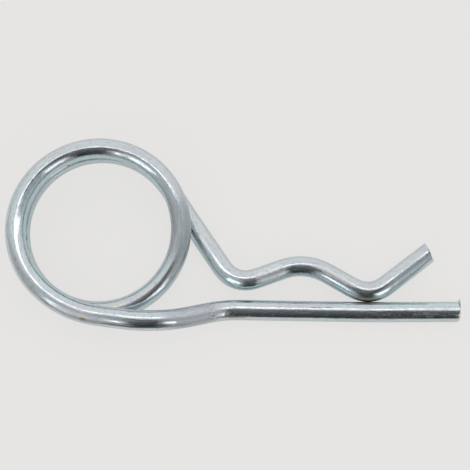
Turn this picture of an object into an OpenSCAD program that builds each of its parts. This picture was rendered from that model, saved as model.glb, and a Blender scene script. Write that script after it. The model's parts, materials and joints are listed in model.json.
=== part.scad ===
// Double-coil R clip (hitch pin clip, spring cotter), bent from one length of
// round spring wire.  The straight leg goes through the cross hole of a pin or
// shaft, the wavy leg snaps over the outside of it, and the coil is the spring.
//
// The clip is set out as the bender's drawing would be: a chain of setting-out
// points, each with a bend radius.  It is drawn in the plane of its two legs,
// with the coil's axis at x = y = 0 and the legs towards +X, and is then laid
// down as it comes to rest on a bench at z = 0.  The coil's axis meets the
// bench at the origin.

/* [Wire] */
// Diameter of the wire
wire_d = 4; // [3:0.1:5]

/* [Coil] */
// Clear inside diameter of the coil
coil_id = 28.6; // [22:0.1:36]
// Gap between the two turns
coil_gap = 0.15; // [0.1:0.05:1]
// Bend radius where the straight leg runs into the coil
lead_r = 20.6; // [16:0.2:26]
// How far the wire turns at that radius, in degrees
lead_angle = 38.5; // [20:0.5:50]

/* [Straight leg] */
// Coil axis to the tip of the straight leg
leg_reach = 71.2; // [60:0.1:90]
// How far the straight leg lies outside the coil, centre line to centre line
leg_out = 0.4; // [-1:0.1:5]
// Slight bow of the straight leg, pressed open by the wavy one, in degrees
leg_bow = 1.2; // [0.2:0.1:2]
// From the coil out to the start of the jog, centre line to setting-out point
jog_out = 8.3; // [6:0.1:12]
// Bend radius at the start of the jog
jog_r = 16; // [8:1:18]
// Length of the run between the jog and the lead into the coil
entry_len = 19; // [17:0.5:22]
// Slope of that run in the plane of the legs, in degrees
entry_slope = 8; // [4:0.5:12]
// Bend radius between the jog and that run
entry_r = 27; // [14:1:30]

/* [Wavy leg] */
// From the coil out to the first trough, centre line to centre
trough_out = 12.8; // [11:0.1:16]
// Height of the first trough above the straight leg, centre to centre
trough_rise = 6.35; // [5:0.05:8]
// Bend radius of the first trough
trough_r = 5.4; // [3:0.1:6]
// From the first trough on to the crest
crest_on = 10.8; // [9:0.1:13]
// Height of the crest above the straight leg, centre to centre
crest_rise = 9.2; // [7.6:0.1:11]
// Bend radius of the crest
crest_r = 10.3; // [7:0.1:11]
// From the crest on to the second trough, which presses on the straight leg
contact_on = 13.3; // [11:0.1:16]
// Bend radius of the second trough
contact_r = 5.6; // [4:0.1:7]
// Gap left between the second trough and the straight leg
contact_gap = 0.1; // [0.05:0.05:1]
// Slope of the flared end, in degrees
flare_angle = 37; // [25:1:45]
// Length of the flared end, from the setting-out point of the second trough
flare_len = 15; // [9:0.5:20]
// Run from the coil before the wire is set over into the plane of the legs
set_run = 7; // [7:0.5:12]
// Bend radius there
set_r = 12; // [6:1:14]

/* [Sheared ends] */
// How far the cut of the flared end is off square, in degrees
flare_cut = 10; // [0:1:15]
// How far the cut of the straight leg is off square, in degrees
leg_cut = 1; // [0:1:10]

/* [Hidden] */
$fn = 72;

wire_r = wire_d / 2;
coil_r = coil_id / 2 + wire_r;
// the coil drops by one wire and one gap in each turn
coil_slope = (wire_d + coil_gap) / (2 * PI * coil_r);
leg_y = -(coil_r + leg_out);
jog_x = coil_r + jog_out;
trough_x = coil_r + trough_out;
crest_x = trough_x + crest_on;
contact_x = crest_x + contact_on;
bow_r = 300;
// most that one bend of the coil turns, and points that a bend is sampled at
coil_step = 45;
samples = 8;
// a bead this much over the wire's radius closes each joint of two bends
bead = 0.02;
shortest_run = 0.005;

function unit(v) = v / norm(v);
function heading(a) = [cos(a), sin(a)];
function flat(p, z) = [p.x, p.y, z];

// Where a wire on a circle heads in direction a; turn is 1 to the left, -1 to the right
function touch(centre, r, a, turn) = centre + turn * r * [sin(a), -cos(a)];

// Heading of the wire that leaves one circle and joins the next, which turns the other way
function crossing(c1, r1, c2, r2, turn) =
    atan2(c2.y - c1.y, c2.x - c1.x) + turn * asin((r1 + r2) / norm(c2 - c1));

// Where the line through p with heading a meets the line through q with heading b
function meet(p, a, q, b) =
    p + heading(a) * cross(q - p, heading(b)) / cross(heading(a), heading(b));

// --- the wavy leg in plan: circles of its bends, and the runs between them ---
trough_c = [trough_x, leg_y + trough_rise + trough_r];
crest_c = [crest_x, leg_y + crest_rise - crest_r];
contact_c = [contact_x, leg_y + wire_d + contact_gap + contact_r];
leave_a = crossing([0, 0], coil_r, trough_c, trough_r, -1);
rise_a = crossing(trough_c, trough_r, crest_c, crest_r, 1);
fall_a = crossing(crest_c, crest_r, contact_c, contact_r, -1);
leave_p = touch([0, 0], coil_r, leave_a, -1);
trough_p = meet(leave_p, leave_a, touch(trough_c, trough_r, rise_a, 1), rise_a);
crest_p = meet(trough_p, rise_a, touch(crest_c, crest_r, fall_a, -1), fall_a);
contact_p = meet(crest_p, fall_a, touch(contact_c, contact_r, flare_angle, 1), flare_angle);
flare_p = contact_p + flare_len * heading(flare_angle);

// --- the coil: the straight leg comes in from the right, and the wire then turns right ---
entry_a = 180 - entry_slope;
coil_a = entry_a - lead_angle;
coil_turn = coil_a - (leave_a - 360);
bend_count = ceil(coil_turn / coil_step);
bend_turn = coil_turn / bend_count;
coil_top = coil_slope * coil_r * coil_turn * PI / 360;
lead_setback = lead_r * tan(lead_angle / 2);
coil_p = touch([0, 0], coil_r, coil_a, -1);
lead_p = coil_p - lead_setback * heading(coil_a);
lead_z = coil_top + coil_slope * lead_setback;
entry_p = lead_p - entry_len * heading(entry_a);
entry_z = lead_z + coil_slope * entry_len;
// the setting-out points of the coil lie outside its centre line, and half way round each bend
coil_run = 2 * coil_r * tan(bend_turn / 2);
coil_drop = coil_slope * coil_r * bend_turn * PI / 180;
coil_points = [
    for (i = [0.5 : bend_count])
        flat(touch([0, 0], coil_r / cos(bend_turn / 2), coil_a - i * bend_turn, -1), coil_top - i * coil_drop)
];
coil_bend = turn_at(coil_points, 1);
coil_bend_r = norm([coil_run, coil_drop]) / 2 / tan(coil_bend / 2);

// --- the whole wire, from the tip of the straight leg to the tip of the wavy one ---
points = [
    [leg_reach, leg_y, 0],
    [contact_x, leg_y, 0],
    [jog_x, leg_y + (contact_x - jog_x) * tan(leg_bow), 0],
    flat(entry_p, entry_z),
    flat(lead_p, lead_z),
    each coil_points,
    flat(leave_p + set_run * heading(leave_a), -coil_top - coil_slope * set_run),
    flat(trough_p, 0),
    flat(crest_p, 0),
    flat(contact_p, 0),
    flat(flare_p, 0)
];
radii = [
    0, bow_r, jog_r, entry_r, lead_r,
    for (p = coil_points) coil_bend_r,
    set_r, trough_r, crest_r, contact_r, 0
];
last = len(points) - 1;

// Angle that the wire turns at setting-out point i, and how far its bend reaches from there
function turn_at(p, i) =
    let (a = p[i] - p[i - 1], b = p[i + 1] - p[i])
    atan2(norm(cross(a, b)), a * b);
function asked(i) = i == 0 || i == last ? 0 : radii[i] * tan(turn_at(points, i) / 2);
// the bends at the two ends of a run are made tighter where the run is too short for both
function share(i) = min(1, norm(points[i + 1] - points[i]) / (asked(i) + asked(i + 1)));
shares = [for (i = [0 : last - 1]) share(i)];
bend_r = [for (i = [0 : last]) radii[i] * min(shares[max(0, i - 1)], shares[min(last - 1, i)])];
function setback(i) = i == 0 || i == last ? 0 : bend_r[i] * tan(turn_at(points, i) / 2);
function bend_start(i) = points[i] - setback(i) * unit(points[i] - points[i - 1]);
function bend_end(i) = points[i] + setback(i) * unit(points[i + 1] - points[i]);

// Frame of bend i: X from the bend's centre to its start, Y along the wire there
function bend_y(i) = unit(points[i] - points[i - 1]);
function bend_z(i) = unit(cross(points[i] - points[i - 1], points[i + 1] - points[i]));
function bend_x(i) = cross(bend_y(i), bend_z(i));
function bend_centre(i) = bend_start(i) - bend_r[i] * bend_x(i);
function along_bend(i, a) = bend_centre(i) + bend_r[i] * (bend_x(i) * cos(a) + bend_y(i) * sin(a));

// --- how the clip lies: it settles on the three points of the wire that its weight is between ---
centre_line = [
    points[0],
    for (i = [1 : last - 1])
        for (k = [0 : samples])
            along_bend(i, turn_at(points, i) * k / samples),
    points[last]
];
pieces = [
    for (i = [1 : len(centre_line) - 1])
        let (run = norm(centre_line[i] - centre_line[i - 1]))
        [run, run * (centre_line[i] + centre_line[i - 1]) / 2]
];
weight_at = sum_of([for (p = pieces) p[1]]) / sum_of([for (p = pieces) p[0]]);

function sum_of(list, i = 0) = i == len(list) - 1 ? list[i] : list[i] + sum_of(list, i + 1);
function up_from(feet) =
    let (n = unit(cross(feet[1] - feet[0], feet[2] - feet[0])))
    n.z < 0 ? -n : n;
function lowest_along(n) =
    let (heights = [for (p = centre_line) p * n])
    centre_line[search(min(heights), heights)[0]];
function side(a, b, p) = cross([b.x - a.x, b.y - a.y], [p.x - a.x, p.y - a.y]);
function around_weight(f) =
    let (s = [side(f[0], f[1], weight_at), side(f[1], f[2], weight_at), side(f[2], f[0], weight_at)])
    min(s) >= 0 || max(s) <= 0;
function settle(feet) =
    let (n = up_from(feet), p = lowest_along(n))
    (feet[0] - p) * n < 0.0001 ? feet
    : around_weight([p, feet[1], feet[2]]) ? settle([p, feet[1], feet[2]])
    : around_weight([feet[0], p, feet[2]]) ? settle([feet[0], p, feet[2]])
    : settle([feet[0], feet[1], p]);

// any three points round the weight do to start from
feet = settle([points[0], flat([-coil_r, -coil_r], coil_top), flat([0, coil_r], coil_top)]);
rest_z = up_from(feet);
rest_y = unit(cross(rest_z, [1, 0, 0]));
rest_x = cross(rest_y, rest_z);
// from the bench up to the middle of the coil, along the coil's own axis
coil_up = (wire_r - feet[0] * rest_z) / rest_z.z;
lying = [
    [rest_x.x, rest_x.y, rest_x.z, rest_x.z * coil_up],
    [rest_y.x, rest_y.y, rest_y.z, rest_y.z * coil_up],
    [rest_z.x, rest_z.y, rest_z.z, rest_z.z * coil_up],
    [0, 0, 0, 1]
];

// A straight run of wire between two points
module run(from, to) {
    along = unit(to - from);
    translate(from)
        rotate([0, acos(along.z), atan2(along.y, along.x)])
            cylinder(r = wire_r, h = norm(to - from));
}

// The bend at setting-out point i
module bend(i) {
    x = bend_x(i);
    y = bend_y(i);
    z = bend_z(i);
    c = bend_centre(i);
    multmatrix([[x.x, y.x, z.x, c.x], [x.y, y.y, z.y, c.y], [x.z, y.z, z.z, c.z]])
        rotate_extrude(angle = turn_at(points, i))
            translate([bend_r[i], 0])
                circle(r = wire_r);
}

module joint(p) {
    translate(p)
        sphere(r = wire_r + bead);
}

// What the shear takes off at a free end: the wire heads a in plan, and the cut is off square
module shear(p, a, off) {
    translate(p)
        rotate([0, 0, a - off])
            translate([0, -wire_d, -wire_d])
                cube(2 * wire_d);
}

module wire() {
    for (i = [1 : last])
        if (norm(bend_start(i) - bend_end(i - 1)) > shortest_run)
            run(bend_end(i - 1), bend_start(i));
    for (i = [1 : last - 1]) {
        bend(i);
        joint(bend_start(i));
        if (norm(bend_start(i + 1) - bend_end(i)) > shortest_run)
            joint(bend_end(i));
    }
}

module r_clip() {
    color([0.72, 0.76, 0.78])
        multmatrix(lying)
            difference() {
                wire();
                shear(points[0], 0, leg_cut);
                shear(points[last], flare_angle, flare_cut);
            }
}

r_clip();
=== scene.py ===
import json
import math

import bmesh
import bpy
from mathutils import Matrix, Vector, noise


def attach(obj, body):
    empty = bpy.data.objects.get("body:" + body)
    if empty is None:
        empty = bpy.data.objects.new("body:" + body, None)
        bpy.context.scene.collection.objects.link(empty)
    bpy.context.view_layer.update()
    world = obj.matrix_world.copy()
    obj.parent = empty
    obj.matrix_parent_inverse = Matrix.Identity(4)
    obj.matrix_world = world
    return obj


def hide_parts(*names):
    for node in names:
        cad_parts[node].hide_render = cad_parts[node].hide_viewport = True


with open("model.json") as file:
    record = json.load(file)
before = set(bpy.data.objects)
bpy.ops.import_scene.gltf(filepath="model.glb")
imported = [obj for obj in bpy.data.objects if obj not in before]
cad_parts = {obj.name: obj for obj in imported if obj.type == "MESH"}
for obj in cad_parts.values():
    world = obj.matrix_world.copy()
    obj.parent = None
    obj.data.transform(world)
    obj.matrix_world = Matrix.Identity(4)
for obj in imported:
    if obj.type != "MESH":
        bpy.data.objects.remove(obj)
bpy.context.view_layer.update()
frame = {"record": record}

# ---- The wire ----
# The whole clip is one length of round spring-steel wire, bent cold about pins: a straight leg, a
# close coil of a turn and a half, and a wavy leg that springs down onto the straight one.  It is
# set out as on the bender's drawing, by the points where its runs would meet and the bends there.
MM = 0.001
wire_d = 4.0
wire_r = wire_d / 2
coil_id, coil_gap = 28.6, 0.15
lead_r, lead_angle = 20.6, 38.5
leg_reach, leg_out, leg_bow = 71.2, 0.4, 1.2
jog_out, jog_r = 8.3, 16.0
entry_len, entry_slope, entry_r = 19.0, 8.0, 27.0
trough_out, trough_rise, trough_r = 12.8, 6.35, 5.4
crest_on, crest_rise, crest_r = 10.8, 9.2, 10.3
# bent to press on the straight leg: the spring-back below leaves the two just clear of each other
contact_on, contact_r, contact_gap = 13.3, 5.6, -0.04
flare_angle, flare_len = 37.0, 15.0
set_run, set_r = 7.0, 12.0
bow_r = 300.0
coil_bends = 13


def heading(degrees):
    return Vector((math.cos(math.radians(degrees)), math.sin(math.radians(degrees))))


def touch(centre, radius, degrees, turn):
    """Where a wire on a circle heads that way; turn is 1 to the left, -1 to the right."""
    way = heading(degrees)
    return centre + turn * radius * Vector((way.y, -way.x))


def crossing(first, first_r, second, second_r, turn):
    """Heading of the wire that leaves one circle and joins the next, which turns the other way."""
    apart = second - first
    swing = math.asin((first_r + second_r) / apart.length)
    return math.degrees(math.atan2(apart.y, apart.x) + turn * swing)


def meet(p, a, q, b):
    """Where the line through p with heading a meets the line through q with heading b."""
    return p + heading(a) * (q - p).cross(heading(b)) / heading(a).cross(heading(b))


coil_r = coil_id / 2 + wire_r
coil_slope = (wire_d + coil_gap) / (2 * math.pi * coil_r)
leg_y = -(coil_r + leg_out)
jog_x, trough_x = coil_r + jog_out, coil_r + trough_out
crest_x = trough_x + crest_on
contact_x = crest_x + contact_on

axis = Vector((0, 0))
trough_c = Vector((trough_x, leg_y + trough_rise + trough_r))
crest_c = Vector((crest_x, leg_y + crest_rise - crest_r))
contact_c = Vector((contact_x, leg_y + wire_d + contact_gap + contact_r))
leave_a = crossing(axis, coil_r, trough_c, trough_r, -1)
rise_a = crossing(trough_c, trough_r, crest_c, crest_r, 1)
fall_a = crossing(crest_c, crest_r, contact_c, contact_r, -1)
leave_p = touch(axis, coil_r, leave_a, -1)
trough_p = meet(leave_p, leave_a, touch(trough_c, trough_r, rise_a, 1), rise_a)
crest_p = meet(trough_p, rise_a, touch(crest_c, crest_r, fall_a, -1), fall_a)
contact_p = meet(crest_p, fall_a, touch(contact_c, contact_r, flare_angle, 1), flare_angle)
flare_p = contact_p + flare_len * heading(flare_angle)

entry_a = 180 - entry_slope
coil_a = entry_a - lead_angle
coil_turn = coil_a - (leave_a - 360)
bend_turn = coil_turn / coil_bends
coil_top = coil_slope * coil_r * math.radians(coil_turn) / 2
lead_setback = lead_r * math.tan(math.radians(lead_angle) / 2)
lead_p = touch(axis, coil_r, coil_a, -1) - lead_setback * heading(coil_a)
lead_z = coil_top + coil_slope * lead_setback
entry_p = lead_p - entry_len * heading(entry_a)
entry_z = lead_z + coil_slope * entry_len
coil_drop = coil_slope * coil_r * math.radians(bend_turn)
outer_r = coil_r / math.cos(math.radians(bend_turn) / 2)
set_p = leave_p + set_run * heading(leave_a)

# point, its height, and the radius of the bend there
setting_out = [
    (Vector((leg_reach, leg_y)), 0, 0),
    (Vector((contact_x, leg_y)), 0, bow_r),
    (Vector((jog_x, leg_y + (contact_x - jog_x) * math.tan(math.radians(leg_bow)))), 0, jog_r),
    (entry_p, entry_z, entry_r),
    (lead_p, lead_z, lead_r),
]
first_coil_bend = len(setting_out)
for i in range(coil_bends):
    on_coil = touch(axis, outer_r, coil_a - (i + 0.5) * bend_turn, -1)
    setting_out.append((on_coil, coil_top - (i + 0.5) * coil_drop, None))
setting_out += [
    (set_p, -coil_top - coil_slope * set_run, set_r),
    (trough_p, 0, trough_r),
    (crest_p, 0, crest_r),
    (contact_p, 0, contact_r),
    (flare_p, 0, 0),
]
points = [Vector((p.x, p.y, z)) for p, z, _ in setting_out]


def turn_at(i):
    return (points[i] - points[i - 1]).angle(points[i + 1] - points[i])


coil_run = Vector((2 * coil_r * math.tan(math.radians(bend_turn) / 2), coil_drop)).length
coil_bend_r = coil_run / 2 / math.tan(turn_at(first_coil_bend + 1) / 2)
radii = [coil_bend_r if r is None else r for _, _, r in setting_out]

# the clip lies as it comes to rest: the leg's and the coil's directions give the legs' plane
mounts = {m["name"]: m for m in frame["record"]["mounts"]}
leg_mount = mounts["straight_leg"]
leg_way = Vector(leg_mount["axis"]).normalized()
coil_way = Vector(mounts["coil_eye"]["axis"]).normalized()
lying = Matrix((leg_way, coil_way.cross(leg_way), coil_way)).transposed()
leg_middle = Vector((leg_reach - leg_mount["dims"]["length_mm"] / 2, leg_y, 0)) * MM
bench_offset = Vector(leg_mount["pos_m"]) - lying @ leg_middle


def laid(p):
    """A point of the bender's drawing, in millimetres, where it is on the bench, in metres."""
    return lying @ (Vector(p) * MM) + bench_offset


bend_chord = math.radians(0.3)
route = bpy.data.meshes.new("wire route")
route.from_pydata([laid(p) for p in points], [(i, i + 1) for i in range(len(points) - 1)], [])
bend_radius = route.attributes.new("bend_radius", "FLOAT", "POINT")
bend_steps = route.attributes.new("bend_steps", "INT", "POINT")
for i in range(1, len(points) - 1):
    bend_radius.data[i].value = radii[i] * MM
    bend_steps.data[i].value = max(1, round(turn_at(i) / bend_chord))
clip = bpy.data.objects.new("r_clip_wire", route)
bpy.context.scene.collection.objects.link(clip)


def node(tree, kind, links=(), **settings):
    """Adds a node; links set its inputs, by name or number, to values or other nodes' outputs."""
    made = tree.nodes.new(kind)
    for name, value in settings.items():
        setattr(made, name, value)
    for key, source in dict(links).items():
        socket = made.inputs[key]
        if isinstance(source, bpy.types.NodeSocket):
            tree.links.new(source, socket)
        else:
            socket.default_value = source
    return made


bender = bpy.data.node_groups.new("bend the wire", "GeometryNodeTree")
for name, kind in (
    ("Geometry", "NodeSocketGeometry"),
    ("Wire radius", "NodeSocketFloat"),
    ("Sides", "NodeSocketInt"),
    ("Ring spacing", "NodeSocketFloat"),
    ("Spring-back", "NodeSocketInt"),
    ("Sheared length", "NodeSocketFloat"),
    ("Finish", "NodeSocketMaterial"),
):
    bender.interface.new_socket(name, in_out="INPUT", socket_type=kind)
bender.interface.new_socket("Geometry", in_out="OUTPUT", socket_type="NodeSocketGeometry")

given = bender.nodes.new("NodeGroupInput").outputs
radius_there = node(
    bender, "GeometryNodeInputNamedAttribute", {"Name": "bend_radius"}, data_type="FLOAT"
)
steps_there = node(
    bender, "GeometryNodeInputNamedAttribute", {"Name": "bend_steps"}, data_type="INT"
)
chain = node(bender, "GeometryNodeMeshToCurve", {"Mesh": given["Geometry"]})
bent = node(
    bender,
    "GeometryNodeFilletCurve",
    {
        "Curve": chain.outputs[0],
        "Count": steps_there.outputs["Attribute"],
        "Radius": radius_there.outputs["Attribute"],
    },
    mode="POLY",
)
even = node(
    bender,
    "GeometryNodeResampleCurve",
    {"Curve": bent.outputs[0], "Length": given["Ring spacing"]},
    mode="LENGTH",
)
# a bend eases into its runs where the wire springs back; points near the ends keep their place
held_points = 12
near_end = node(
    bender,
    "GeometryNodeCurveEndpointSelection",
    {"Start Size": held_points, "End Size": held_points},
)
not_end = node(bender, "FunctionNodeBooleanMath", {0: near_end.outputs[0]}, operation="NOT")
eased = node(
    bender,
    "GeometryNodeBlurAttribute",
    {"Iterations": given["Spring-back"], "Weight": not_end.outputs[0]},
    data_type="FLOAT_VECTOR",
)
bender.links.new(node(bender, "GeometryNodeInputPosition").outputs[0], eased.inputs["Value"])
sprung = node(
    bender, "GeometryNodeSetPosition", {"Geometry": even.outputs[0], "Position": eased.outputs[0]}
)
how_far = node(bender, "GeometryNodeSplineParameter")
whole = node(bender, "GeometryNodeSplineLength")
measured = node(
    bender,
    "GeometryNodeStoreNamedAttribute",
    {"Geometry": sprung.outputs[0], "Name": "along", "Value": how_far.outputs["Length"]},
    data_type="FLOAT",
    domain="POINT",
)
up_to = node(
    bender,
    "ShaderNodeMath",
    {0: whole.outputs["Length"], 1: given["Sheared length"]},
    operation="SUBTRACT",
)
blank = node(
    bender,
    "GeometryNodeTrimCurve",
    {"Curve": measured.outputs[0]},
    mode="LENGTH",
)
# by number, because the trim's start and end have one socket each as a share and one as a length
trim_start, trim_end = 4, 5
bender.links.new(given["Sheared length"], blank.inputs[trim_start])
bender.links.new(up_to.outputs[0], blank.inputs[trim_end])
section = node(
    bender,
    "GeometryNodeCurvePrimitiveCircle",
    {"Resolution": given["Sides"], "Radius": given["Wire radius"]},
)
section_at = node(
    bender,
    "GeometryNodeStoreNamedAttribute",
    {"Geometry": section.outputs[0], "Name": "across"},
    data_type="FLOAT_VECTOR",
    domain="POINT",
)
bender.links.new(node(bender, "GeometryNodeInputPosition").outputs[0], section_at.inputs["Value"])
drawn = node(
    bender,
    "GeometryNodeCurveToMesh",
    {"Curve": blank.outputs[0], "Profile Curve": section_at.outputs[0], "Fill Caps": False},
)
along_there = node(bender, "GeometryNodeInputNamedAttribute", {"Name": "along"}, data_type="FLOAT")
across_there = node(
    bender, "GeometryNodeInputNamedAttribute", {"Name": "across"}, data_type="FLOAT_VECTOR"
)
split = node(bender, "ShaderNodeSeparateXYZ", {0: across_there.outputs["Attribute"]})
straightened = node(
    bender,
    "ShaderNodeCombineXYZ",
    {0: split.outputs[0], 1: split.outputs[1], 2: along_there.outputs["Attribute"]},
)
mapped = node(
    bender,
    "GeometryNodeStoreNamedAttribute",
    {"Geometry": drawn.outputs[0], "Name": "wire_at", "Value": straightened.outputs[0]},
    data_type="FLOAT_VECTOR",
    domain="POINT",
)
smooth = node(bender, "GeometryNodeSetShadeSmooth", {"Geometry": mapped.outputs[0]})
real = node(bender, "GeometryNodeRealizeInstances", {"Geometry": smooth.outputs[0]})
finished = node(
    bender, "GeometryNodeSetMaterial", {"Geometry": real.outputs[0], "Material": given["Finish"]}
)
made = bender.nodes.new("NodeGroupOutput")
bender.links.new(finished.outputs[0], made.inputs[0])

# the finish of the whole clip; its nodes are in the next section
zinc = bpy.data.materials.new("zinc plate")
zinc.use_nodes = True

ring_spacing = 0.22
sheared_len = 1.2
sides = 56
spring_back = 20
bending = clip.modifiers.new("bending", "NODES")
bending.node_group = bender
for item in bender.interface.items_tree:
    value = {
        "Wire radius": wire_r * MM,
        "Sides": sides,
        "Ring spacing": ring_spacing * MM,
        "Spring-back": spring_back,
        "Sheared length": sheared_len * MM,
        "Finish": zinc,
    }.get(item.name)
    if value is not None:
        bending[item.identifier] = value
bpy.context.view_layer.update()
graph = bpy.context.evaluated_depsgraph_get()
clip_mesh = bpy.data.meshes.new_from_object(clip.evaluated_get(graph))
clip.modifiers.remove(bending)
clip.data = clip_mesh
bpy.data.meshes.remove(route)

# ---- The sheared ends ----
# The blank is cut off by a shear.  Where the blade goes in it rolls the wire's edge over, then the
# steel tears, and the last of it is dragged out: to a thin burr away from the bench on the straight
# leg, to a lip on the flared end.
body = bmesh.new()
body.from_mesh(clip_mesh)
wire_at = body.verts.layers.float_vector["wire_at"]
cut_face = body.verts.layers.float.new("cut_face")
body.verts.ensure_lookup_table()
rings = [body.verts[i : i + sides] for i in range(0, len(body.verts), sides)]

# rings of the mesh: how far behind the cut, in millimetres, then across it, as shares of the radius
behind_cut = (0.95, 0.72, 0.52, 0.38, 0.27, 0.18, 0.11, 0.05, 0)
across_cut = (0.96, 0.9, 0.81, 0.7, 0.57, 0.43, 0.28, 0.13)
# the burr, the rolled edge, the ragged rim and the torn face, in millimetres; the larger a narrow
# is, the less of the wire's round its feature takes up
burr_reach, burr_narrow = 0.55, 4
crisp_edge, roll_depth, roll_from, roll_narrow = 0.05, 0.8, 0.35, 1.2
ragged_rim, rim_grain = 0.05, 9
torn_depth, torn_grain, lip_narrow = 0.05, 7, 8
clean_cut_bare = 0.35


def sheared_end(ring, sense, way, short, off_square, lean_back, burr_side, roll, burr, lip):
    """Closes the wire beyond a ring; sense is 1 where the length along it falls towards the end."""
    middle = sum((v.co for v in ring), Vector()) / sides
    tip = middle + way * (sheared_len - short) * MM
    lean = coil_way.cross(way) * math.tan(math.radians(off_square))
    lean -= coil_way * math.tan(math.radians(lean_back))
    spokes = [(v.co - middle).normalized() for v in ring]
    towards = [spoke.dot(burr_side) for spoke in spokes]
    loops = [ring]

    def placed(i, radius, beyond, share, on_cut):
        old = ring[i]
        made = body.verts.new(tip + (spokes[i] * radius + way * beyond) * MM)
        inward = (1 - share) * wire_r - min(beyond, 0)
        along = old[wire_at].z + sense * (inward - sheared_len) * MM
        made[wire_at] = (old[wire_at].x * share, old[wire_at].y * share, along)
        made[cut_face] = on_cut
        return made

    rims = []
    for back in behind_cut:
        loop = []
        for i, spoke in enumerate(spokes):
            rolled = max(0, (roll_from - towards[i]) / (roll_from + 1)) ** roll_narrow
            torn = max(0, towards[i]) ** burr_narrow
            edge = crisp_edge + (roll - crisp_edge) * rolled
            near = 1 - min(1, back / edge)
            radius = wire_r - roll_depth * edge * (1 - math.sqrt(1 - near * near))
            radius += burr * torn * (1 - min(1, back / burr_reach)) ** 2
            ragged = ragged_rim * torn * noise.noise(spoke * rim_grain)
            reach = wire_r * spoke.dot(lean) + lip * torn + ragged
            loop.append(placed(i, radius, reach * (1 - back) - back, 1, 0))
            if back == 0:
                rims.append((radius, reach))
        loops.append(loop)
    for share in across_cut:
        loop = []
        for i, spoke in enumerate(spokes):
            radius, reach = rims[i]
            rough = max(0, min(1, 0.5 + 2 * towards[i] * share))
            dip = torn_depth * rough * (1 + noise.noise(spoke * share * torn_grain))
            lipped = (reach - wire_r * spoke.dot(lean)) * share**lip_narrow
            flat = radius * share * spoke.dot(lean)
            on_cut = clean_cut_bare + (1 - clean_cut_bare) * rough
            loop.append(placed(i, radius * share, flat + lipped - dip, share, on_cut))
        loops.append(loop)
    for loop, following in zip(loops, loops[1:]):
        for i in range(sides):
            j = (i + 1) % sides
            body.faces.new((loop[i], loop[j], following[j], following[i]))
    centre = placed(0, 0, -torn_depth, 0, 1)
    for i in range(sides):
        body.faces.new((loops[-1][i], loops[-1][(i + 1) % sides], centre))


leg_left = coil_way.cross(leg_way)
flare_way = (laid(points[-1]) - laid(points[-2])).normalized()
flare_right = flare_way.cross(coil_way)
sheared_end(
    rings[0],
    1,
    leg_way,
    short=0.05,
    off_square=1,
    lean_back=7,
    burr_side=leg_left,
    roll=0.75,
    burr=0.62,
    lip=0,
)
sheared_end(
    rings[-1],
    -1,
    flare_way,
    short=0.22,
    off_square=15,
    lean_back=3,
    burr_side=flare_right,
    roll=0.12,
    burr=0.04,
    lip=0.22,
)

# ---- The marks on the wire ----
# What the bender's pins, the other wires in the plating barrel and use have left: a pinch beside
# the jog, a few pits and nicks, and the faint unevenness of the drawn wire itself.  They are
# pressed into the mesh.


def round_at(along, degrees):
    """Wire coordinates, mm: so far from the straight leg's tip, so far round from top to left."""
    turn = math.radians(degrees)
    return Vector((-wire_r * math.sin(turn), -wire_r * math.cos(turn), along))


# along the wire, degrees round it, half length, half width, depth
pressed = (
    # pits in the coil and in the run down to the first trough
    (218.0, -53, 0.42, 0.32, 0.09),
    (198.4, -58, 0.36, 0.32, 0.08),
    (253.8, -32, 0.5, 0.3, 0.05),
    # the groove of the scratch on the straight leg
    (27.4, -8, 2.2, 0.28, 0.012),
    # the bender's pinch at the jog, its four jaws' bites and the smear beside them
    (49.4, 4, 0.6, 0.6, 0.04),
    (49.1, 26, 0.5, 0.45, 0.06),
    (49.9, 36, 0.4, 0.4, 0.06),
    (49.4, 54, 0.6, 0.6, 0.05),
    (48.0, 30, 1.2, 0.24, 0.014),
    (46.7, 33, 0.6, 0.45, 0.03),
    # the pit that rusts, and the burnished nick
    (74.0, 50, 0.5, 0.35, 0.05),
    (58.3, 31, 1.8, 0.34, 0.036),
)
uneven, uneven_along = 0.007, 0.16
for ring in rings:
    middle = sum((v.co for v in ring), Vector()) / sides
    here = ring[0][wire_at].z / MM
    close = [
        (round_at(along, turn), long, wide, deep)
        for along, turn, long, wide, deep in pressed
        if abs(along - here) < long
    ]
    for v in ring:
        at = v[wire_at] / MM
        outward = (v.co - middle).normalized()
        push = uneven * noise.noise(Vector((at.x, at.y, at.z * uneven_along)))
        for centre, long, wide, deep in close:
            off = at - centre
            far = (off.z / long) ** 2 + (off.x**2 + off.y**2) / wide**2
            if far < 1:
                push -= deep * (1 - far) ** 2
        v.co += outward * push * MM
bmesh.ops.recalc_face_normals(body, faces=body.faces)
for face in body.faces:
    face.smooth = True
body.to_mesh(clip_mesh)
body.free()
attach(clip, "root")
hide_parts("r_clip")

# ---- The zinc finish ----
# Bright zinc, plated on the bent clip and passivated a faint blue: a thin mirror with the wire's
# draw lines under it, so it is cloudy along the wire, tinted lavender and teal in places and
# scuffed where handled.  Its colour also carries painted light and shade: a teal sheen on the
# flanks, shade and light over dull patches, a highlight on the nick and shade where the legs meet.
tree = zinc.node_tree
tree.nodes.clear()
on_wire = node(tree, "ShaderNodeAttribute", attribute_name="wire_at").outputs["Vector"]


def worked(first, operation, second, clamp=False):
    """A sum on two values, each a number or another node's output."""
    links = {0: first, 1: second}
    return node(tree, "ShaderNodeMath", links, operation=operation, use_clamp=clamp).outputs[0]


def plus(first, second):
    return worked(first, "ADD", second)


def times(first, second):
    return worked(first, "MULTIPLY", second)


def most(first, second):
    return worked(first, "MAXIMUM", second)


def ramped(value, low, high, to_low=0.0, to_high=1.0):
    """Takes low..high of a value to to_low..to_high, eased at both ends."""
    links = {"Value": value, "From Min": low, "From Max": high, "To Min": to_low, "To Max": to_high}
    return node(tree, "ShaderNodeMapRange", links, interpolation_type="SMOOTHSTEP").outputs[0]


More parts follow.
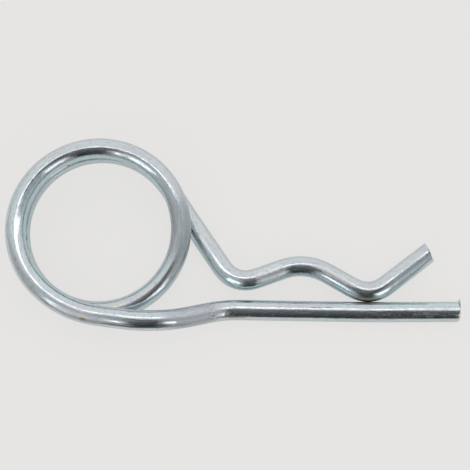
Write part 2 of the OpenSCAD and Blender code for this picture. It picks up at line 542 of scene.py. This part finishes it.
def grain(across, along, detail, shift=0.0):
    """Noise with marks so many millimetres across the wire and along it."""
    links = {
        0: on_wire,
        1: (1 / across / MM, 1 / across / MM, 1 / along / MM),
        2: (shift, shift, shift),
    }
    moved = node(tree, "ShaderNodeVectorMath", links, operation="MULTIPLY_ADD")
    links = {"Vector": moved.outputs[0], "Scale": 1.0, "Detail": detail}
    return node(tree, "ShaderNodeTexNoise", links).outputs["Fac"]


draw_lines = grain(0.13, 3.0, 2.0)
speckle = grain(0.24, 0.9, 3.0, 7.0)
streaks = grain(0.4, 3.5, 3.0, 3.0)
clouds = grain(1.6, 9.0, 2.0, 11.0)
tide = grain(4.0, 14.0, 2.0, 19.0)
scuffs = grain(0.13, 1.5, 2.0, 29.0)
ring_lines = grain(2.5, 0.12, 2.0, 23.0)
cracks = grain(0.2, 0.24, 2.0, 37.0)


def patch(along, degrees, long, wide, ragged):
    """A soft-edged patch on the wire, half lengths in mm; the speckle breaks up its edge."""
    centre = round_at(along, degrees) * MM
    size = (1 / wide / MM, 1 / wide / MM, 1 / long / MM)
    off = node(tree, "ShaderNodeVectorMath", {0: on_wire, 1: centre}, operation="SUBTRACT")
    far = node(tree, "ShaderNodeVectorMath", {0: off.outputs[0], 1: size}, operation="MULTIPLY")
    length = node(
        tree, "ShaderNodeVectorMath", {0: far.outputs[0]}, operation="LENGTH"
    ).outputs["Value"]
    length = plus(length, times(worked(speckle, "SUBTRACT", 0.5), 2 * ragged))
    return ramped(length, 1.0, 0.55)


# the film's tint, which varies at random, and a painted teal sheen on the wire's flanks; then
# where the wire has been rubbed dull: painted shade over the coil's right side, the jog and the
# flare, and painted light over the wavy runs
section_at = node(tree, "ShaderNodeSeparateXYZ", {0: on_wire})
rightwards = worked(section_at.outputs[0], "DIVIDE", wire_r * MM)
painted_flank_sheen = plus(ramped(rightwards, 0.2, 0.9), ramped(rightwards, -0.5, -0.98, 0.0, 0.2))
film_tint_and_flank_sheen = worked(times(painted_flank_sheen, 0.65), "ADD", ramped(tide, 0.4, 0.65, -0.15, 0.3), clamp=True)
dull_side_painted_shade = plus(times(patch(149, 0, 11, 3.8, 0.5), 0.4), times(patch(149, 0, 7, 3.8, 0.6), 0.6))
dull_jog_painted_shade = patch(53.2, 12, 7.6, 3.6, 0.25)
dull_bend = patch(74.5, 42, 7.0, 1.4, 0.3)
dull_runs_painted_light = most(patch(272.7, -30, 4.2, 1.9, 0.3), patch(286.0, -22, 6.0, 0.75, 0.3))
dull_flare_painted_shade = patch(302.5, -33, 6.0, 1.0, 0.2)

# the marks: the bender's pinch, pits, the burnished nick with a painted highlight, the scratch,
# stains, rust, rims behind the sheared ends painted dark, and a brown rub with painted contact
# shade where the wavy leg presses on the straight one
pinch = most(patch(49.3, 8, 0.6, 1.1, 0.5), patch(49.3, 42, 0.95, 1.2, 0.5))
pits = most(patch(218.0, -53, 0.3, 0.24, 0.2), patch(198.4, -58, 0.26, 0.24, 0.2))
nick_polish_and_highlight = patch(58.3, 32, 2.1, 0.7, 0.0)
scratch = most(patch(28.6, -6, 1.4, 0.11, 0.8), patch(26.1, -8, 1.1, 0.12, 0.8))
yellow = patch(171.2, -16, 2.6, 0.9, 0.4)
rust = patch(73.8, 50, 0.95, 0.32, 0.5)
brown = patch(44.0, 58, 2.2, 0.5, 0.6)
darkened_end_rims = most(patch(308.2, -25, 0.45, 0.85, 0.3), patch(0.2, -26, 0.35, 0.8, 0.3))
rub_and_contact_shade = most(patch(292.9, -80, 2.8, 0.9, 0.3), patch(18.3, -72, 4.0, 0.9, 0.3))
bare = node(tree, "ShaderNodeAttribute", attribute_name="cut_face").outputs["Fac"]

# each tint lies over the ones before it, by its share
bright_zinc = (0.635, 0.69, 0.712)
tints = (
    # the film's tint, random in places, and a painted teal sheen on the flanks
    ((0.56, 0.72, 0.75), film_tint_and_flank_sheen),
    # painted shade: the coil's dull right side darkened
    ((0.35, 0.42, 0.45), times(dull_side_painted_shade, 0.85)),
    ((0.5, 0.46, 0.43), times(dull_side_painted_shade, ramped(streaks, 0.42, 0.62, 0.0, 0.5))),
    # painted shade: the dull patch at the jog darkened
    ((0.47, 0.515, 0.54), times(dull_jog_painted_shade, 0.7)),
    # painted light: the wavy runs' dull near flanks lightened
    ((0.8, 0.83, 0.84), times(dull_runs_painted_light, 0.8)),
    # painted shade: the flare's dull near flank darkened
    ((0.46, 0.53, 0.58), times(dull_flare_painted_shade, 0.7)),
    ((0.6, 0.575, 0.65), ramped(clouds, 0.48, 0.68, 0.0, 0.42)),
    ((0.75, 0.77, 0.775), ramped(streaks, 0.52, 0.7, 0.0, 0.4)),
    ((0.38, 0.36, 0.42), ramped(speckle, 0.48, 0.74, 0.0, 0.55)),
    ((0.93, 0.95, 0.96), times(pinch, ramped(cracks, 0.5, 0.58, 0.0, 0.9))),
    ((0.2, 0.22, 0.24), times(pinch, ramped(cracks, 0.47, 0.4, 0.0, 0.9))),
    ((0.7, 0.67, 0.56), times(yellow, 0.55)),
    ((0.48, 0.37, 0.23), rust),
    ((0.36, 0.31, 0.25), times(brown, 0.6)),
    # a brown rub mark, darkened further as painted contact shade where the legs meet
    ((0.3, 0.26, 0.2), times(rub_and_contact_shade, 0.7)),
    ((0.2, 0.2, 0.22), times(scratch, 0.75)),
    # the rims just behind both sheared ends painted dark
    ((0.16, 0.14, 0.14), times(darkened_end_rims, 0.75)),
    # painted highlight: the polished nick lightened so its glint shows
    ((0.86, 0.88, 0.9), times(nick_polish_and_highlight, 0.85)),
    ((0.1, 0.085, 0.07), pits),
    ((0.36, 0.34, 0.32), times(bare, 0.85)),
)
colour = (*bright_zinc, 1)
for tint, share in tints:
    # sockets 6 and 7 are the two colours
    mixed = node(
        tree, "ShaderNodeMix", {"Factor": share, 6: colour, 7: (*tint, 1)}, data_type="RGBA"
    )
    colour = mixed.outputs[2]

worn = most(dull_side_painted_shade, dull_jog_painted_shade)
for area, share in ((dull_bend, 0.9), (dull_runs_painted_light, 0.8), (dull_flare_painted_shade, 0.7)):
    worn = most(worn, times(area, share))
around_nick = worked(1.0, "SUBTRACT", nick_polish_and_highlight)
roughness = plus(ramped(clouds, 0.35, 0.7, 0.1, 0.17), ramped(streaks, 0.5, 0.8, 0.0, 0.09))
roughness = plus(roughness, times(worked(worn, "SUBTRACT", nick_polish_and_highlight, clamp=True), 0.32))
roughness = plus(roughness, ramped(scuffs, 0.55, 0.7, 0.0, 0.13))
roughness = plus(roughness, times(most(times(pinch, 0.4), bare), 0.25))
roughness = plus(times(roughness, around_nick), times(nick_polish_and_highlight, 0.1))
roughness = plus(roughness, times(most(rub_and_contact_shade, rust), 0.2))

relief = plus(times(draw_lines, 0.45), times(speckle, 0.3))
relief = plus(relief, times(streaks, 0.35))
relief = plus(relief, times(times(ring_lines, ramped(tide, 0.5, 0.7)), 0.12))
relief = worked(times(relief, around_nick), "SUBTRACT", scratch)
relief = plus(relief, times(bare, times(speckle, 3)))
relief = plus(relief, times(pinch, times(cracks, 3)))
relief_depth = 0.025
surface = node(
    tree, "ShaderNodeBump", {"Height": relief, "Strength": 1.0, "Distance": relief_depth * MM}
)
plate = node(
    tree,
    "ShaderNodeBsdfPrincipled",
    {"Base Color": colour, "Metallic": 1.0, "Roughness": roughness, "Normal": surface.outputs[0]},
)
node(tree, "ShaderNodeOutputMaterial", {"Surface": plate.outputs[0]})

# ---- The bench ----
# A plain pale card under the clip, large enough to fill the view from any side.  It keeps the
# clip's faint shadow.  Its front part is painted dark as shade in what glossy rays see, and the
# polished wire mirrors that along the straight leg.
bench_size = 3.0
bench_colour = (0.80, 0.792, 0.776, 1)
shade_colour = (0.09, 0.09, 0.09, 1)
shade_from, shade_full = -0.034, -0.05
plain_share, plain_in_mirror = 0.86, 0.42
bench_mesh = bpy.data.meshes.new("bench")
half = bench_size / 2
bench_mesh.from_pydata(
    [(-half, -half, 0), (half, -half, 0), (half, half, 0), (-half, half, 0)], [], [(0, 1, 2, 3)]
)
bench = bpy.data.objects.new("bench", bench_mesh)
bpy.context.scene.collection.objects.link(bench)
card = bpy.data.materials.new("pale card")
card.use_nodes = True
tree = card.node_tree
tree.nodes.clear()
ray = node(tree, "ShaderNodeLightPath")
card_at = node(tree, "ShaderNodeTexCoord")
card_y = node(tree, "ShaderNodeSeparateXYZ", {0: card_at.outputs["Object"]})
front = node(
    tree,
    "ShaderNodeMapRange",
    {"Value": card_y.outputs["Y"], "From Min": shade_from, "From Max": shade_full},
)
# painted shade on the card's front, seen only by glossy rays
in_shade = times(front.outputs[0], ray.outputs["Is Glossy Ray"])
toned = node(
    tree, "ShaderNodeMix", {"Factor": in_shade, 6: bench_colour, 7: shade_colour}, data_type="RGBA"
).outputs[2]
matt = node(
    tree,
    "ShaderNodeBsdfPrincipled",
    {"Base Color": toned, "Roughness": 0.9, "Specular IOR Level": 0.2},
)
plain = node(tree, "ShaderNodeEmission", {"Color": toned, "Strength": 1.0})
seen = plus(times(ray.outputs["Is Glossy Ray"], plain_in_mirror), ray.outputs["Is Camera Ray"])
seen = worked(seen, "ADD", ray.outputs["Is Transmission Ray"], clamp=True)
shown = node(
    tree,
    "ShaderNodeMixShader",
    {0: times(seen, plain_share), 1: matt.outputs[0], 2: plain.outputs[0]},
)
node(tree, "ShaderNodeOutputMaterial", {"Surface": shown.outputs[0]})
bench_mesh.materials.append(card)

# ---- The light ----
# A light tent round the clip: pale walls, brightest behind, greyer at the sides, with a dark gap at
# the front where it is open.  Two lamps hang end to end over the clip, and three panels stand
# beside the gap.
world = bpy.data.worlds.new("light tent")
bpy.context.scene.world = world
world.use_nodes = True
tree = world.node_tree
tree.nodes.clear()
# from left to right, -1 to 1, how bright the tent is in front of the clip and behind it
front_tones = (
    (-1.0, 0.52),
    (-0.6, 0.47),
    (-0.4, 0.47),
    (-0.28, 0.42),
    (-0.2, 0.26),
    (-0.13, 0.06),
    (0.0, 0.045),
    (0.1, 0.045),
    (0.17, 0.025),
    (0.23, 0.02),
    (0.28, 0.2),
    (0.34, 0.42),
    (0.6, 0.42),
    (1.0, 0.56),
)
back_tones = ((-1.0, 0.54), (-0.85, 0.74), (-0.5, 0.88), (0.5, 0.90), (0.85, 0.84), (1.0, 0.64))
front_edge, back_edge = -0.08, 0.12
# the tent's roof shows above the gap, less and less towards its right edge
roof_narrow, roof_tone, roof_right_tone = 4.0, 0.17, 0.05
roof_right_from, roof_right_to = 0.07, 0.2
shadowless = (0.85, 0.85, 0.85, 1)

way = node(tree, "ShaderNodeTexCoord")
part = node(tree, "ShaderNodeSeparateXYZ", {0: way.outputs["Generated"]})
sideways = plus(times(part.outputs["X"], 0.5), 0.5)


def wall(tones):
    made = node(tree, "ShaderNodeValToRGB", {"Fac": sideways})
    made.color_ramp.interpolation = "EASE"
    while len(made.color_ramp.elements) < len(tones):
        made.color_ramp.elements.new(0.5)
    for stop, (across, tone) in zip(made.color_ramp.elements, tones):
        stop.position = 0.5 + 0.5 * across
        stop.color = (tone, tone, tone, 1)
    return made.outputs[0]


behind = ramped(part.outputs["Y"], front_edge, back_edge)
roof_there = node(
    tree,
    "ShaderNodeMapRange",
    {
        "Value": part.outputs["X"],
        "From Min": roof_right_from,
        "From Max": roof_right_to,
        "To Min": roof_tone,
        "To Max": roof_right_tone,
    },
)
roof = times(worked(part.outputs["Z"], "POWER", roof_narrow), roof_there.outputs[0])
open_front = node(tree, "ShaderNodeVectorMath", {0: wall(front_tones), 1: roof}, operation="ADD")
walls = node(
    tree,
    "ShaderNodeMix",
    {"Factor": behind, 6: open_front.outputs[0], 7: wall(back_tones)},
    data_type="RGBA",
)
ray = node(tree, "ShaderNodeLightPath")
mirrored = node(tree, "ShaderNodeBackground", {"Color": walls.outputs[2], "Strength": 1.0})
soft = node(tree, "ShaderNodeBackground", {"Color": shadowless, "Strength": 1.0})
pale = node(tree, "ShaderNodeBackground", {"Color": bench_colour, "Strength": 1.0})
lit = node(
    tree,
    "ShaderNodeMixShader",
    {0: ray.outputs["Is Glossy Ray"], 1: soft.outputs[0], 2: mirrored.outputs[0]},
)
viewed = node(
    tree,
    "ShaderNodeMixShader",
    {0: ray.outputs["Is Camera Ray"], 1: lit.outputs[0], 2: pale.outputs[0]},
)
node(tree, "ShaderNodeOutputWorld", {"Surface": viewed.outputs[0]})

clip_middle = Vector((0.026, -0.002, 0.003))


def panel(name, way, distance, wide, high, radiance, level=(0, 0, 1)):
    """A flat lamp that faces the clip from that direction, with its wide side square to level."""
    facing = Vector(way).normalized()
    across = Vector(level).cross(facing).normalized()
    lamp = bpy.data.lights.new(name, "AREA")
    lamp.shape = "RECTANGLE"
    lamp.size, lamp.size_y = wide, high
    lamp.energy = radiance * math.pi * wide * high
    made = bpy.data.objects.new(name, lamp)
    turn = Matrix((across, facing.cross(across), facing)).transposed()
    made.matrix_world = Matrix.Translation(clip_middle + facing * distance) @ turn.to_4x4()
    made.visible_camera = False
    bpy.context.scene.collection.objects.link(made)


panel("overhead lamp", (-9, 12, 90), 0.0915, 0.07, 0.011, 1.5, level=(0, -1, 0))
panel("overhead lamp, right end", (46, 12, 90), 0.102, 0.046, 0.011, 1.2, level=(0, -1, 0))
panel("left panel", (-0.56, -0.64, 0.53), 1.0, 0.32, 0.6, 1.1)
panel("left strip", (-0.335, -0.76, 0.56), 0.5, 0.05, 0.17, 1.6)
panel("right panel", (0.494, -0.732, 0.469), 1.0, 0.32, 0.5, 1.2)

# ---- The camera ----
# It looks down on the clip from the front, steeply, as someone does who is about to pick it up.
# It stands a hand's length and a bit away and is rolled a little: the straight leg runs level.
lens, sensor, nearest = 77.084, 36.0, 0.01
aim, standoff = Vector((0.026966, -0.000425, 0.0)), 0.205505
bearing, steepness, roll = math.radians(1.9524), math.radians(71.82), math.radians(-2.2267)
camera_data = bpy.data.cameras.new("camera")
camera_data.sensor_width = sensor
camera_data.lens = lens
camera_data.clip_start = nearest
camera = bpy.data.objects.new("camera", camera_data)
turn = (
    Matrix.Rotation(bearing, 3, "Z")
    @ Matrix.Rotation(math.pi / 2 - steepness, 3, "X")
    @ Matrix.Rotation(roll, 3, "Z")
)
camera.matrix_world = Matrix.Translation(aim + turn @ Vector((0, 0, standoff))) @ turn.to_4x4()
bpy.context.scene.collection.objects.link(camera)
bpy.context.scene.camera = camera

# ---- Finish ----
# The light's colours are shown as they are, with no grading over them.
bpy.context.scene.view_settings.view_transform = "Standard"
